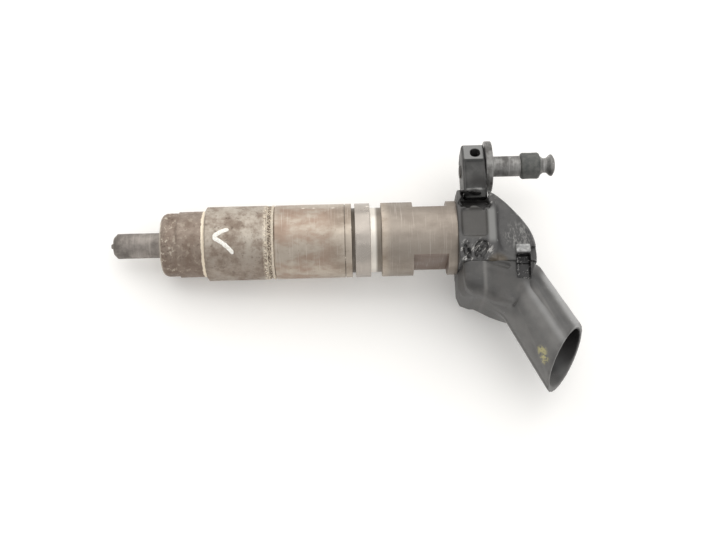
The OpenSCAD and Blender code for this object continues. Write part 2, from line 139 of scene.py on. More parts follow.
class Paint:
    """A procedural material, worked out in millimetres of the shared frame."""

    def __init__(self, name, **sockets):
        self.material = bpy.data.materials.new(name)
        self.material.use_nodes = True
        self.tree = self.material.node_tree
        self.shader = self.tree.nodes["Principled BSDF"]
        for key, value in sockets.items():
            self.shader.inputs[key.replace("_", " ")].default_value = value
        here = self.add("TexCoord").outputs["Object"]
        self.place = self.add("VectorMath", {0: here, "Scale": 1 / MM}, operation="SCALE").outputs[0]

    def add(self, kind, sockets=None, **settings):
        """A node, with its sockets set to values or linked to other nodes' outputs."""
        made = self.tree.nodes.new("ShaderNode" + kind)
        for key, value in settings.items():
            setattr(made, key, value)
        for key, value in (sockets or {}).items():
            if isinstance(value, bpy.types.NodeSocket):
                self.tree.links.new(value, made.inputs[key])
            else:
                made.inputs[key].default_value = value
        return made

    def maths(self, operation, a, b=0.0):
        return self.add("Math", {0: a, 1: b}, operation=operation).outputs[0]

    def times(self, a, b):
        return self.maths("MULTIPLY", a, b)

    def vector(self, operation, a, b, output=0):
        return self.add("VectorMath", {0: a, 1: b}, operation=operation).outputs[output]

    def speckle(self, size, detail=5.0, rough=0.6, stretch=(1, 1, 1), shift=0.0):
        """Noise from 0 to 1 whose lumps are about size millimetres across."""
        moved = self.vector("MULTIPLY", self.place, stretch)
        moved = self.vector("ADD", moved, (shift, shift, shift))
        sockets = {"Vector": moved, "Scale": 1 / size, "Detail": detail, "Roughness": rough}
        return self.add("TexNoise", sockets).outputs["Fac"]

    def step(self, value, low, high, start=0.0, end=1.0):
        """start below low, end above high, and smooth between."""
        sockets = {"Value": value, "From Min": low, "From Max": high, "To Min": start, "To Max": end}
        return self.add("MapRange", sockets, interpolation_type="SMOOTHSTEP").outputs[0]

    def axis(self, which):
        return self.add("SeparateXYZ", {0: self.place}).outputs[which]

    def band(self, value, low, high, soft=0.2):
        """1 between low and high, and 0 outside."""
        rise = self.step(value, low - soft, low + soft)
        fall = self.step(value, high - soft, high + soft, 1.0, 0.0)
        return self.times(rise, fall)

    def near(self, point, radius, soft):
        """1 close to a point and 0 past the radius."""
        gap = self.vector("DISTANCE", self.place, point, "Value")
        return self.step(gap, radius - soft, radius + soft, 1.0, 0.0)

    def edges(self, low=0.57, high=0.67):
        """1 on raised edges, where a finish wears through first."""
        return self.step(self.add("NewGeometry").outputs["Pointiness"], low, high)

    def hollow_shade(self, low=0.40, high=0.48):
        """1 in hollow places, where the finishes paint shade."""
        return self.step(self.add("NewGeometry").outputs["Pointiness"], low, high, 1.0, 0.0)

    def mix(self, amount, a, b):
        made = self.add("Mix", {0: amount, 6: a, 7: b}, data_type="RGBA")
        return made.outputs[2]

    def finish(self, colour, roughness, height, depth):
        """Ends the material. depth is the bump's height in millimetres."""
        bump = self.add("Bump", {"Height": height, "Distance": depth * MM, "Strength": 1.0})
        self.tree.links.new(colour, self.shader.inputs["Base Color"])
        self.tree.links.new(roughness, self.shader.inputs["Roughness"])
        self.tree.links.new(bump.outputs[0], self.shader.inputs["Normal"])
        return self.material


def worn_steel(name, base, light, dark, metallic=0.75, rough=(0.38, 0.62), grain=0.03):
    """Turned steel with stains, fine turning lines round the axis and bright worn edges."""
    paint = Paint(name, Metallic=metallic)
    stains = paint.speckle(5.0, 8.0, 0.65)
    spots = paint.speckle(0.7, 6.0, 0.6, shift=40.0)
    lines = paint.speckle(0.35, 3.0, 0.5, stretch=(1.0, 0.04, 0.04))
    colour = paint.mix(paint.step(stains, 0.38, 0.66), base, dark)
    colour = paint.mix(paint.step(spots, 0.58, 0.72, 0.0, 0.5), colour, dark)
    colour = paint.mix(paint.step(lines, 0.5, 0.8, 0.0, 0.4), colour, light)
    colour = paint.mix(paint.times(paint.edges(), 0.8), colour, light)
    roughness = paint.step(stains, 0.3, 0.7, *rough)
    height = paint.maths("ADD", spots, paint.times(lines, 0.6))
    return paint.finish(colour, roughness, height, grain)


def nut_steel():
    """The nut: brown-grey, with baked crust at its nose and a sandy ring at its step."""
    paint = Paint("nut_steel", Metallic=0.55)
    along = paint.axis("X")
    stains = paint.speckle(4.5, 9.0, 0.66)
    spots = paint.speckle(0.9, 6.0, 0.65, shift=17.0)
    chips = paint.speckle(0.55, 5.0, 0.7, shift=70.0)
    colour = paint.mix(paint.step(stains, 0.36, 0.66), srgb(184, 175, 163), srgb(140, 125, 112))
    front = paint.step(along, NUT_STEP - 0.9, NUT_STEP, 1.0, 0.0)
    colour = paint.mix(paint.times(front, 0.7), colour, srgb(126, 109, 97))
    colour = paint.mix(paint.step(spots, 0.56, 0.68, 0.0, 0.65), colour, srgb(96, 82, 71))
    flakes = paint.speckle(1.5, 6.0, 0.7, shift=23.0)
    # painted shade: the nut is darkened towards -Y, the side turned away from the key light
    low_side_shade = paint.step(paint.axis("Y"), -9.0, -1.0, 0.45, 0.0)
    colour = paint.mix(low_side_shade, colour, srgb(116, 100, 88))
    crust = paint.step(along, 0.5, CRUST_END + 1.6, 1.0, 0.25)
    crust = paint.times(crust, paint.step(along, NUT_STEP - 1.5, NUT_STEP, 1.0, 0.0))
    colour = paint.mix(paint.times(crust, paint.step(flakes, 0.54, 0.62)), colour, srgb(205, 196, 180))
    colour = paint.mix(paint.times(crust, paint.step(flakes, 0.36, 0.44, 0.7, 0.0)), colour, srgb(84, 72, 62))
    wander = paint.maths("ADD", along, paint.times(paint.speckle(2.0, 3.0), 0.9))
    ring = paint.band(wander, NUT_STEP - 0.35, NUT_STEP + 0.45, 0.12)
    colour = paint.mix(paint.times(ring, 0.92), colour, srgb(238, 226, 206))
    rim = paint.step(along, 0.15, 0.7, 0.5, 0.0)
    colour = paint.mix(rim, colour, srgb(222, 214, 200))
    rear = paint.step(along, NUT_END - 1.3, NUT_END - 0.3)
    colour = paint.mix(paint.times(rear, paint.step(chips, 0.42, 0.6)), colour, srgb(226, 215, 196))
    roughness = paint.step(stains, 0.3, 0.7, 0.45, 0.7)
    height = paint.maths("ADD", paint.times(chips, 0.6), spots)
    return paint.finish(colour, roughness, height, 0.07)


def body_steel():
    """The body: warm light grey, reddish near the nut, with ground lands, worn edges, and painted highlight
    and shade in its grooves and hollow places.
    """
    paint = Paint("body_steel", Metallic=0.8)
    along = paint.axis("X")
    stains = paint.speckle(6.0, 8.0, 0.62, stretch=(0.6, 1.0, 1.0))
    spots = paint.speckle(0.8, 6.0, 0.6, shift=31.0)
    lines = paint.speckle(0.3, 3.0, 0.5, stretch=(1.0, 0.03, 0.03))
    colour = paint.mix(paint.step(stains, 0.38, 0.68), srgb(182, 171, 158), srgb(150, 137, 124))
    blush = paint.times(paint.band(along, 31.0, 47.0, 4.0), paint.step(stains, 0.44, 0.6, 0.0, 0.45))
    colour = paint.mix(blush, colour, srgb(166, 138, 121))
    colour = paint.mix(paint.step(spots, 0.6, 0.72, 0.0, 0.5), colour, srgb(128, 114, 101))
    land = paint.band(along, GROOVE_A[1], GROOVE_B[0], 0.1)
    colour = paint.mix(paint.times(land, 0.7), colour, srgb(172, 166, 160))
    rear = paint.step(along, GROOVE_B[1] + 0.2, GROOVE_B[1] + 3.0, 0.0, 0.7)
    colour = paint.mix(rear, colour, srgb(134, 126, 118))
    out = paint.vector("MULTIPLY", paint.place, (0.0, 1.0, 1.0))
    radius = paint.add("VectorMath", {0: out}, operation="LENGTH").outputs["Value"]
    low = paint.step(radius, BODY_R - 0.9, BODY_R - 0.4, 1.0, 0.0)
    # painted light and shade in the wide groove: a painted highlight on its front flank and painted shade on
    # its rear half
    wide = paint.times(low, paint.band(along, *GROOVE_B, 0.05))
    groove = paint.mix(paint.step(along, 59.0, 60.0), srgb(226, 220, 211), srgb(128, 120, 110))
    colour = paint.mix(wide, colour, groove)
    # painted shade in the narrow groove
    narrow_groove_shade = paint.times(low, paint.band(along, *GROOVE_A, 0.05))
    colour = paint.mix(narrow_groove_shade, colour, srgb(96, 88, 79))
    slot = paint.band(along, SLOT[0], SLOT[1], 0.05)
    side = paint.maths("ABSOLUTE", paint.axis("Y"))
    flat = paint.times(slot, paint.step(side, FLAT_Y - 0.12, FLAT_Y - 0.02))
    colour = paint.mix(paint.times(flat, 0.85), colour, srgb(126, 108, 98))
    colour = paint.mix(paint.times(paint.edges(), 0.85), colour, srgb(236, 229, 219))
    # painted shade in hollow places
    colour = paint.mix(paint.times(paint.hollow_shade(), 0.6), colour, srgb(92, 83, 74))
    colour = paint.mix(paint.step(lines, 0.55, 0.8, 0.0, 0.35), colour, srgb(222, 214, 204))
    rough = paint.step(stains, 0.3, 0.7, 0.36, 0.55)
    roughness = paint.maths("SUBTRACT", rough, paint.times(land, 0.14))
    height = paint.maths("ADD", spots, paint.times(lines, 0.5))
    return paint.finish(colour, roughness, height, 0.03)


def crust_grit():
    """Grit packed in the joint: dark brown, with sandy grains."""
    paint = Paint("joint_grit", Metallic=0.0)
    grains = paint.speckle(0.45, 6.0, 0.7)
    along = paint.axis("X")
    lip = paint.maths("ADD", paint.band(along, 30.75, 31.6, 0.18), paint.band(along, 29.3, 29.75, 0.12))
    colour = paint.mix(paint.step(grains, 0.44, 0.6), srgb(96, 82, 70), srgb(212, 198, 178))
    colour = paint.mix(paint.times(lip, 0.75), colour, srgb(232, 220, 202))
    return paint.finish(colour, paint.step(grains, 0.3, 0.7, 0.8, 0.95), grains, 0.25)


def head_plastic(name, base, light):
    """Black moulded plastic: fine grain, grey scuffs, chalky edges, a few scratches and painted shade in
    hollow places.
    """
    paint = Paint(name, Metallic=0.0, Specular_IOR_Level=0.5)
    cloud = paint.speckle(7.0, 7.0, 0.6)
    grain = paint.speckle(0.28, 4.0, 0.6, shift=12.0)
    scratches = paint.speckle(0.5, 4.0, 0.7, stretch=(0.25, 1.6, 1.0), shift=55.0)
    colour = paint.mix(paint.step(cloud, 0.36, 0.68), base, light)
    colour = paint.mix(paint.step(scratches, 0.62, 0.72, 0.0, 0.35), colour, srgb(132, 131, 130))
    colour = paint.mix(paint.times(paint.edges(0.56, 0.68), 0.5), colour, srgb(150, 150, 149))
    # painted shade in hollow places
    colour = paint.mix(paint.times(paint.hollow_shade(0.30, 0.43), 0.5), colour, srgb(26, 24, 24))
    return paint, colour, cloud, grain


def torn(paint, colour, middle, radius, seed):
    """Jagged dark flecks of painted shade and bright flecks of painted glint, where the plastic was torn or
    melted.
    """
    reach = paint.near(middle, radius, 0.9)
    turn = {"Vector": paint.place, "Angle": math.radians(35)}
    leaning = paint.add("VectorRotate", turn, rotation_type="Z_AXIS").outputs[0]
    stretched = paint.vector("MULTIPLY", leaning, (1.6, 0.5, 1.0))
    sockets = {"Vector": stretched, "W": seed, "Scale": 0.9, "Detail": 4.0, "Roughness": 0.6}
    flecks = paint.add("TexNoise", sockets, noise_dimensions="4D").outputs["Fac"]
    # painted shade: the dark flecks
    dark = paint.times(reach, paint.step(flecks, 0.38, 0.45, 0.9, 0.0))
    colour = paint.mix(dark, colour, srgb(30, 28, 27))
    # painted glints: the bright flecks
    bright = paint.times(reach, paint.step(flecks, 0.57, 0.62, 0.0, 0.85))
    return paint.mix(bright, colour, srgb(186, 184, 180))


def dark_pocket(paint, colour):
    """Painted shade in the pocket under the latch, with a few pale flecks."""
    across = paint.band(paint.axis("X"), LATCH_LOW.x - 0.4, LATCH_HIGH.x + 0.1)
    up = paint.band(paint.axis("Y"), SEAM_Y - 4.8, LATCH_LOW.y + 0.2)
    # painted shade, deepening below the latch's face
    shade_depth = paint.times(paint.times(across, up), paint.step(paint.axis("Z"), 8.6, 9.4, 1.0, 0.0))
    pocket_shade = paint.mix(paint.step(paint.speckle(0.8, 4.0), 0.58, 0.64), srgb(22, 20, 21), srgb(150, 148, 146))
    return paint.mix(paint.times(shade_depth, 0.95), colour, pocket_shade)


def finish_plastic(paint, colour, cloud, grain):
    roughness = paint.step(cloud, 0.3, 0.7, 0.36, 0.56)
    height = paint.maths("ADD", grain, paint.times(cloud, 0.8))
    return paint.finish(colour, roughness, height, 0.05)


def cap_plastic():
    """The cap: a scuffed pale patch beside the latch and a warm tint on the flat panel."""
    paint, colour, cloud, grain = head_plastic("cap_plastic", srgb(58, 57, 57), srgb(84, 83, 82))
    smears = paint.speckle(0.9, 5.0, 0.65, (1.5, 0.55, 1.0), 8.0)
    patch = paint.times(paint.near(SCUFF, 3.6, 1.6), paint.step(smears, 0.46, 0.6))
    colour = paint.mix(paint.times(patch, 0.5), colour, srgb(150, 149, 146))
    panel = paint.times(paint.near(PANEL_MIDDLE, 4.6, 1.0), 0.5)
    colour = paint.mix(panel, colour, srgb(72, 69, 64))
    # painted shade deep in the fracture pit
    (x0, x1), (y0, y1), _ = FRACTURE
    across = paint.times(paint.band(paint.axis("X"), x0, x1), paint.band(paint.axis("Y"), y0, y1 + 0.6))
    shade_depth = paint.times(across, paint.step(paint.axis("Z"), 9.2, 9.9, 1.0, 0.0))
    colour = paint.mix(paint.times(shade_depth, 0.9), colour, srgb(24, 22, 21))
    for (x, y), _, seed in SCARS:
        colour = torn(paint, colour, (x, y, 10.2), 2.9, 20 * seed)
    colour = torn(paint, colour, FRACTURE_EDGE, 1.7, 3.0)
    along, up = paint.axis("X"), paint.axis("Y")
    # painted highlight along the rib
    rib_highlight = paint.band(along, RIB[0][0] - 1.3, RIB[0][0] + 0.7, 0.6)
    rib_highlight = paint.times(rib_highlight, paint.band(up, -4.5, 5.0, 1.0))
    colour = paint.mix(paint.times(rib_highlight, 0.75), colour, srgb(132, 132, 130))
    slit = paint.times(paint.near(SLIT_MIDDLE, 2.6, 0.8), paint.step(cloud, 0.3, 0.6, 0.2, 0.6))
    colour = paint.mix(slit, colour, srgb(104, 92, 74))
    colour = dark_pocket(paint, colour)
    return finish_plastic(paint, colour, cloud, grain)


def housing_plastic():
    """The connector moulding: a greyer barrel, painted highlight and shade on the barrel and crease, painted
    shade in the socket and a dab of yellow paint.
    """
    paint, colour, cloud, grain = head_plastic("housing_plastic", srgb(60, 59, 58), srgb(86, 84, 82))
    spot = paint.vector("SUBTRACT", paint.place, tuple(SHROUD_BASE))
    t = paint.vector("DOT_PRODUCT", spot, tuple(SHROUD_ALONG), "Value")
    s = paint.vector("DOT_PRODUCT", spot, tuple(SHROUD_ACROSS), "Value")
    z = paint.axis("Z")
    away = paint.maths("SQRT", paint.maths("ADD", paint.times(s, s), paint.times(z, z)))
    barrel = paint.times(paint.step(t, 13.0, 18.0), paint.step(cloud, 0.3, 0.7, 0.35, 0.6))
    colour = paint.mix(barrel, colour, srgb(118, 117, 115))
    # painted shade inside the socket
    inner = paint.step(away, SOCKET_MOUTH_R - 0.15, SOCKET_MOUTH_R + 0.1, 0.9, 0.0)
    inside = paint.times(paint.step(t, 18.0, 20.0), inner)
    colour = paint.mix(inside, colour, srgb(24, 22, 23))
    # painted highlights and painted shade in stripes along the barrel's facets
    for middle, half, amount, grey in BARREL_LIGHT_AND_SHADE:
        stripe = paint.times(paint.band(s, middle - half, middle + half, 1.0), paint.step(t, 11.0, 15.0))
        lit = paint.times(stripe, paint.step(z, 0.0, 2.0, 0.0, amount))
        lit = paint.times(lit, paint.step(away, *BARREL_SKIN))
        colour = paint.mix(lit, colour, srgb(grey, grey, grey))
    along = paint.axis("X")
    # painted highlight along the crease
    crease_highlight = paint.band(along, CREASE_X - 0.2, CREASE_X + 0.7, 0.4)
    crease_highlight = paint.times(crease_highlight, paint.step(t, 9.0, 12.0, 0.4, 0.0))
    colour = paint.mix(crease_highlight, colour, srgb(128, 126, 123))
    # painted shade on the facet past the crease
    below = paint.step(along, CREASE_X + 0.8, CREASE_X + 2.4)
    below = paint.times(below, paint.step(t, 11.0, 13.5, 0.4, 0.0))
    colour = paint.mix(below, colour, srgb(44, 43, 42))
    colour = dark_pocket(paint, colour)
    for point, radius in PAINT_DAB:
        reach = paint.near(point, radius, 0.7)
        strokes = paint.speckle(0.9, 5.0, 0.7, (1.4, 0.7, 1.0))
        dab = paint.times(reach, paint.step(strokes, 0.44, 0.54))
        colour = paint.mix(paint.times(dab, 0.65), colour, srgb(186, 178, 122))
    return finish_plastic(paint, colour, cloud, grain)


def block_coat():
    """Black coating on the return block, thin and silvery at its edges, with a painted highlight on its
    slanted face.
    """
    paint = Paint("block_coat", Metallic=0.35)
    cloud = paint.speckle(4.0, 7.0, 0.6)
    grain = paint.speckle(0.4, 5.0, 0.6, shift=9.0)
    colour = paint.mix(paint.step(cloud, 0.35, 0.7), srgb(50, 50, 49), srgb(78, 77, 76))
    normal = paint.add("NewGeometry").outputs["True Normal"]
    slant_way = (0.0, math.sin(BEVEL_TILT), math.cos(BEVEL_TILT))
    slant = paint.vector("DOT_PRODUCT", normal, slant_way, "Value")
    # painted highlight on the slanted face, which faces the key light
    slant_highlight = paint.times(paint.step(slant, 0.955, 0.99), 0.6)
    colour = paint.mix(slant_highlight, colour, srgb(152, 152, 151))
    colour = paint.mix(paint.times(paint.edges(0.56, 0.66), 0.7), colour, srgb(168, 167, 164))
    grime = paint.times(paint.near(BLOCK_GRIME, 3.2, 1.6), paint.step(cloud, 0.3, 0.45))
    colour = paint.mix(paint.times(grime, 0.85), colour, srgb(26, 24, 23))
    return paint.finish(colour, paint.step(cloud, 0.3, 0.7, 0.35, 0.55), grain, 0.04)


def sleeve_rubber():
    """Dark, slightly green rubber with a dusty bloom."""
    paint = Paint("sleeve_rubber", Metallic=0.0)
    cloud = paint.speckle(2.0, 6.0, 0.6)
    grain = paint.speckle(0.25, 4.0, 0.6)
    colour = paint.mix(paint.step(cloud, 0.35, 0.7), srgb(66, 68, 66), srgb(98, 98, 95))
    colour = paint.mix(paint.times(paint.edges(), 0.5), colour, srgb(150, 150, 148))
    return paint.finish(colour, paint.step(cloud, 0.3, 0.7, 0.5, 0.72), grain, 0.03)


def mark_paint():
    """Chalky white marking paint, thin at its edges."""
    paint = Paint("mark_paint", Metallic=0.0)
    flecks = paint.speckle(0.5, 5.0, 0.6)
    colour = paint.mix(paint.step(flecks, 0.35, 0.7), srgb(250, 249, 244), srgb(226, 221, 210))
    return paint.finish(colour, paint.step(flecks, 0.3, 0.7, 0.6, 0.8), flecks, 0.05)


def plain_inner(name, base, dark, metallic, rough):
    """A clean inner piece: faint clouds and fine machining or firing grain."""
    paint = Paint(name, Metallic=metallic)
    cloud = paint.speckle(3.0, 5.0, 0.55)
    grain = paint.speckle(0.25, 4.0, 0.6, stretch=(1.0, 0.2, 0.2))
    colour = paint.mix(paint.step(cloud, 0.35, 0.7), base, dark)
    return paint.finish(colour, paint.step(cloud, 0.3, 0.7, rough - 0.08, rough + 0.08), grain, 0.015)


def floor_white():
    """A plain pale table top."""
    paint = Paint("floor_white", Metallic=0.0, Emission_Strength=0.09)
    paint.shader.inputs["Emission Color"].default_value = (1.0, 0.99, 0.97, 1.0)
    cloud = paint.speckle(60.0, 4.0, 0.5)
    colour = paint.mix(cloud, srgb(250, 249, 247), srgb(246, 245, 243))
    return paint.finish(colour, paint.step(cloud, 0.3, 0.7, 0.6, 0.7), cloud, 0.02)


# PLACES OF THE HEAD'S DETAILS, on its near face

PANEL = ((82.9, 89.9), (-2.8, 5.0), 0.9)
PANEL_MIDDLE = (86.7, 1.2, HEAD_T)
FRACTURE = ((82.8, 90.8), (5.5, 10.9), 4.8)
RIB = ((91.3, 5.6, 9.1), (91.1, -5.4, 9.1), 1.7)
RIDGE = ((91.6, -4.9, 9.3), (92.9, -7.6, 9.1), (96.2, -9.4, 8.8))
RIDGE_R = 1.15
FRACTURE_EDGE = (90.6, 7.4, 9.6)
BLOCK_GRIME = (88.8, 13.2, 6.0)
SCARS = (((83.9, -7.0), (1.4, 2.9), 0.3), ((87.8, -6.8), (2.0, 2.9), -0.35))
SCUFF = (98.3, -2.8, 9.6)
SLIT = ((89.9, -9.9, 10.4), (94.8, -11.3, 9.6), 0.75)
SLIT_MIDDLE = (92.2, -10.4, 9.4)
LOWER_RIM = ((89.3, -11.8, 9.4), (97.4, -13.9, 8.3), 0.9)
LUG = ((101.3, 104.0), (-9.4, -5.6), 6.5)
CREASE_X = 88.2
GROOVE_S = 1.7
FACET_LINE = ((19.0, -5.0), (35.0, -7.4))
ROUND_MARKS = ((15.3, 4.6), (21.3, 4.4))
FLAT_WAY = (math.cos(math.radians(40)), math.sin(math.radians(40)))
FLAT_CUT = 19.7
BARREL_SKIN = (7.7, 7.8)
# each painted highlight or painted shade stripe along the barrel: its middle, its half width, its strength
# and its grey
BARREL_LIGHT_AND_SHADE = ((0.4, 0.9, 0.35, 168), (3.0, 1.2, 0.45, 66), (6.6, 1.2, 0.5, 186), (-4.0, 0.7, 0.25, 70))
PAINT_DAB = (((102.6, -34.4, 6.3), 1.4), ((103.0, -36.4, 5.8), 1.4))


# MESH MAKING

def place_mesh(name, points, faces, material, sharp=35.0):
    """An object from points in millimetres."""
    mesh = bpy.data.meshes.new(name)
    corners = [tuple(float(v) * MM for v in p) for p in points]
    mesh.from_pydata(corners, [], [tuple(map(int, f)) for f in faces])
    mesh.validate()
    mesh.materials.append(material)
    mesh.polygons.foreach_set("use_smooth", [True] * len(mesh.polygons))
    mesh.set_sharp_from_angle(angle=math.radians(sharp))
    made = bpy.data.objects.new(name, mesh)
    bpy.context.scene.collection.objects.link(made)
    return made


def stand_for(piece, slot, *nodes):
    """The piece rides on the injector and stands for those nodes, which are hidden. slot is not used."""
    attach(piece, "injector")
    if nodes:
        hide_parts(*nodes)
    return piece


def eased(profile, radius, steps=3):
    """The profile with its corners rounded. A point is (along, radius) or (along, radius, rounding)."""
    out = []
    for i, point in enumerate(profile):
        here = Vector(point[:2])
        reach = point[2] if len(point) > 2 else radius
        if i in (0, len(profile) - 1) or reach == 0:
            out.append(here)
            continue
        before = Vector(profile[i - 1][:2]) - here
        after = Vector(profile[i + 1][:2]) - here
        reach = min(reach, before.length * 0.45, after.length * 0.45)
        a = here + before.normalized() * reach
        b = here + after.normalized() * reach
        for j in range(steps + 1):
            t = j / steps
            out.append(a * (1 - t) ** 2 + here * 2 * t * (1 - t) + b * t * t)
    return out


def dense(points, step):
    """The same line with no stretch longer than step."""
    out = [points[0]]
    for a, b in zip(points, points[1:]):
        parts = max(1, math.ceil((b - a).length / step))
        out += [a.lerp(b, j / parts) for j in range(1, parts + 1)]
    return out


def turned(name, profile, material, ease=0.2, step=0.7, sides=144, shape=None, place=None, sharp=35.0):
    """A solid turned about +X from an outline that starts and ends at the same point, or on the axis.
    shape(x, r, angle) gives each point's own radius, and place is a matrix in millimetres."""
    line = dense(eased(profile, ease), step)
    closed = (line[0] - line[-1]).length < 1e-6
    if closed:
        line = line[:-1]
    points, rings = [], []
    for x, r in line:
        if r < 1e-6:
            rings.append([len(points)] * sides)
            points.append(Vector((x, 0, 0)))
            continue
        rings.append(list(range(len(points), len(points) + sides)))
        for j in range(sides):
            angle = 2 * math.pi * j / sides
            own = shape(x, r, angle) if shape else r
            points.append(Vector((x, own * math.cos(angle), own * math.sin(angle))))
    faces = []
    for a, b in zip(rings, rings[1:] + rings[:1] if closed else rings[1:]):
        for j in range(sides):
            k = (j + 1) % sides
            corners = [a[j], a[k], b[k], b[j]]
            faces.append(list(dict.fromkeys(corners)))
    if place:
        points = [place @ p for p in points]
    made = place_mesh(name, points, faces, material, sharp)
    outward(made)
    return made


def outward(piece):
    """Turns every face outward, on a closed mesh."""
    work = bmesh.new()
    work.from_mesh(piece.data)
    bmesh.ops.recalc_face_normals(work, faces=work.faces)
    work.to_mesh(piece.data)
    work.free()


def rough_at(x, r, angle, size, seed):
    """Noise from about -1 to 1 on a turned surface, with lumps of that size."""
    spot = Vector((x, r * math.cos(angle), r * math.sin(angle))) / size
    return noise.fractal(spot + Vector((seed, 0, 0)), 0.8, 2.1, 4)


# SIGNED DISTANCES: negative inside. Each takes the grid g = (x, y, z) in millimetres.

def grid(low, high, step):
    axes = [np.arange(a, b + step, step, dtype=np.float32) for a, b in zip(low, high)]
    return np.meshgrid(*axes, indexing="ij")


def room(low, high, margin, step):
    """The lowest corner of a grid that reaches past a box by the margin, and the grid."""
    corner = low - Vector((margin, margin, margin))
    return corner, grid(corner, high + Vector((margin, margin, margin)), step)


def pit(g, place, r):
    """A box sunk into the near face. place is its x range, its y range and its floor."""
    (x0, x1), (y0, y1), floor = place
    return slab(g, (x0, y0, floor), (x1, y1, 20), r)


def slab(g, low, high, r=0.0):
    """A box with rounded edges."""
    q = [abs(v - (a + b) / 2) - (b - a) / 2 + r for v, a, b in zip(g, low, high)]
    outside = sum(np.maximum(v, 0) ** 2 for v in q) ** 0.5
    return outside + np.minimum(np.maximum.reduce(q), 0) - r


def bar_section(g, x_low, x_high, y_low, y_high, half_t, r):
    """A bar along X with a rounded section."""
    qy = abs(g[1] - (y_low + y_high) / 2) - (y_high - y_low) / 2 + r
    qz = abs(g[2]) - half_t + r
    outside = np.sqrt(np.maximum(qy, 0) ** 2 + np.maximum(qz, 0) ** 2)
    section = outside + np.minimum(np.maximum(qy, qz), 0) - r
    return np.maximum.reduce([section, x_low - g[0], g[0] - x_high])


def capsule(g, a, b, r):
    a, b = np.array(a, float), np.array(b, float)
    way = b - a
    p = [v - c for v, c in zip(g, a)]
    t = np.clip(sum(v * w for v, w in zip(p, way)) / (way @ way), 0, 1)
    return np.sqrt(sum((v - w * t) ** 2 for v, w in zip(p, way))) - r


def post(g, x, y, r):
    """An endless cylinder along Z."""
    return np.hypot(g[0] - x, g[1] - y) - r


def shaft(g, y, z, r):
    """An endless cylinder along X."""
    return np.hypot(g[1] - y, g[2] - z) - r


def prism(u, v, corners):
    """The distance to a closed outline in the plane of u and v."""
    gap = np.full(u.shape, 1e9, np.float32)
    inside = np.zeros(u.shape, bool)
    for (ax, ay), (bx, by) in zip(corners, corners[1:] + corners[:1]):
        ex, ey = bx - ax, by - ay
        t = np.clip(((u - ax) * ex + (v - ay) * ey) / (ex * ex + ey * ey), 0, 1)
        gap = np.minimum(gap, (u - ax - ex * t) ** 2 + (v - ay - ey * t) ** 2)
        if ay != by:
            crosses = (ay > v) != (by > v)
            inside ^= crosses & (u < ex * (v - ay) / ey + ax)
    return np.where(inside, -np.sqrt(gap), np.sqrt(gap))


def join(a, b, soft=0.0):
    if np.ndim(soft) == 0 and soft == 0:
        return np.minimum(a, b)
    h = np.clip(0.5 + 0.5 * (b - a) / soft, 0, 1)
    return b * (1 - h) + a * h - soft * h * (1 - h)


def common(a, b, soft=0.0):
    return -join(-a, -b, soft)


def cut(a, b, soft=0.0):
    return common(a, -b, soft)


def lumps(g, size, seed):
    """Smooth random lumps from -1 to 1, about size millimetres across."""
    cells = [v / size for v in g]
    low = [int(math.floor(float(c.min()))) for c in cells]
    count = [int(math.ceil(float(c.max()))) - a + 2 for c, a in zip(cells, low)]
    values = np.random.default_rng(seed).uniform(-1, 1, count).astype(np.float32)
    base = [np.floor(c).astype(int) - a for c, a in zip(cells, low)]
    part = [c - np.floor(c) for c in cells]
    part = [t * t * (3 - 2 * t) for t in part]
    total = 0
    for i in (0, 1):
        for j in (0, 1):
            for k in (0, 1):
                weight = 1
                for t, side in zip(part, (i, j, k)):
                    weight = weight * (t if side else 1 - t)
                total = total + weight * values[base[0] + i, base[1] + j, base[2] + k]
    return total


def skin(name, field, low, step, material, sharp=50.0):
    """The surface where the field is zero, as a mesh of quads: one point in each cell that it crosses."""
    inside = field < 0
    corners = [(i, j, k) for i in (0, 1) for j in (0, 1) for k in (0, 1)]
    size = [n - 1 for n in field.shape]
    count = sum(inside[i:i + size[0], j:j + size[1], k:k + size[2]].astype(np.int8) for i, j, k in corners)
    cells = np.argwhere((count > 0) & (count < 8))
    number = np.full(size, -1, np.int64)
    number[tuple(cells.T)] = np.arange(len(cells))
    value = {c: field[tuple((cells + c).T)] for c in corners}
    total, hits = np.zeros((len(cells), 3)), np.zeros(len(cells))
    for a in corners:
        for axis in range(3):
            if a[axis]:
                continue
            b = tuple(1 if n == axis else a[n] for n in range(3))
            crossed = (value[a] < 0) != (value[b] < 0)
            t = np.where(crossed, value[a] / np.where(crossed, value[a] - value[b], 1), 0)
            spot = np.tile(np.array(a, float), (len(cells), 1))
            spot[:, axis] = t
            total += spot * crossed[:, None]
            hits += crossed
    points = (cells + total / hits[:, None]) * step + np.array(low)
    faces = []
    for axis in range(3):
        after = [slice(None)] * 3
        before = [slice(None)] * 3
        after[axis], before[axis] = slice(1, None), slice(None, -1)
        changed = np.argwhere(inside[tuple(before)] != inside[tuple(after)])
        u, v = (axis + 1) % 3, (axis + 2) % 3
        changed = changed[(changed[:, u] > 0) & (changed[:, v] > 0)]
        changed = changed[(changed[:, u] < size[u]) & (changed[:, v] < size[v])]
        quad = []
        for du, dv in ((1, 1), (0, 1), (0, 0), (1, 0)):
            cell = changed.copy()
            cell[:, u] -= du
            cell[:, v] -= dv
            quad.append(number[tuple(cell.T)])
        quad = np.stack(quad, 1)
        flip = ~inside[tuple(changed.T)]
        quad[flip] = quad[flip][:, ::-1]
        faces.append(quad)
    faces = np.concatenate(faces)
    points, faces = largest(points, faces)
    points = relaxed(points, faces, 2)
    return place_mesh(name, points, faces, material, sharp)


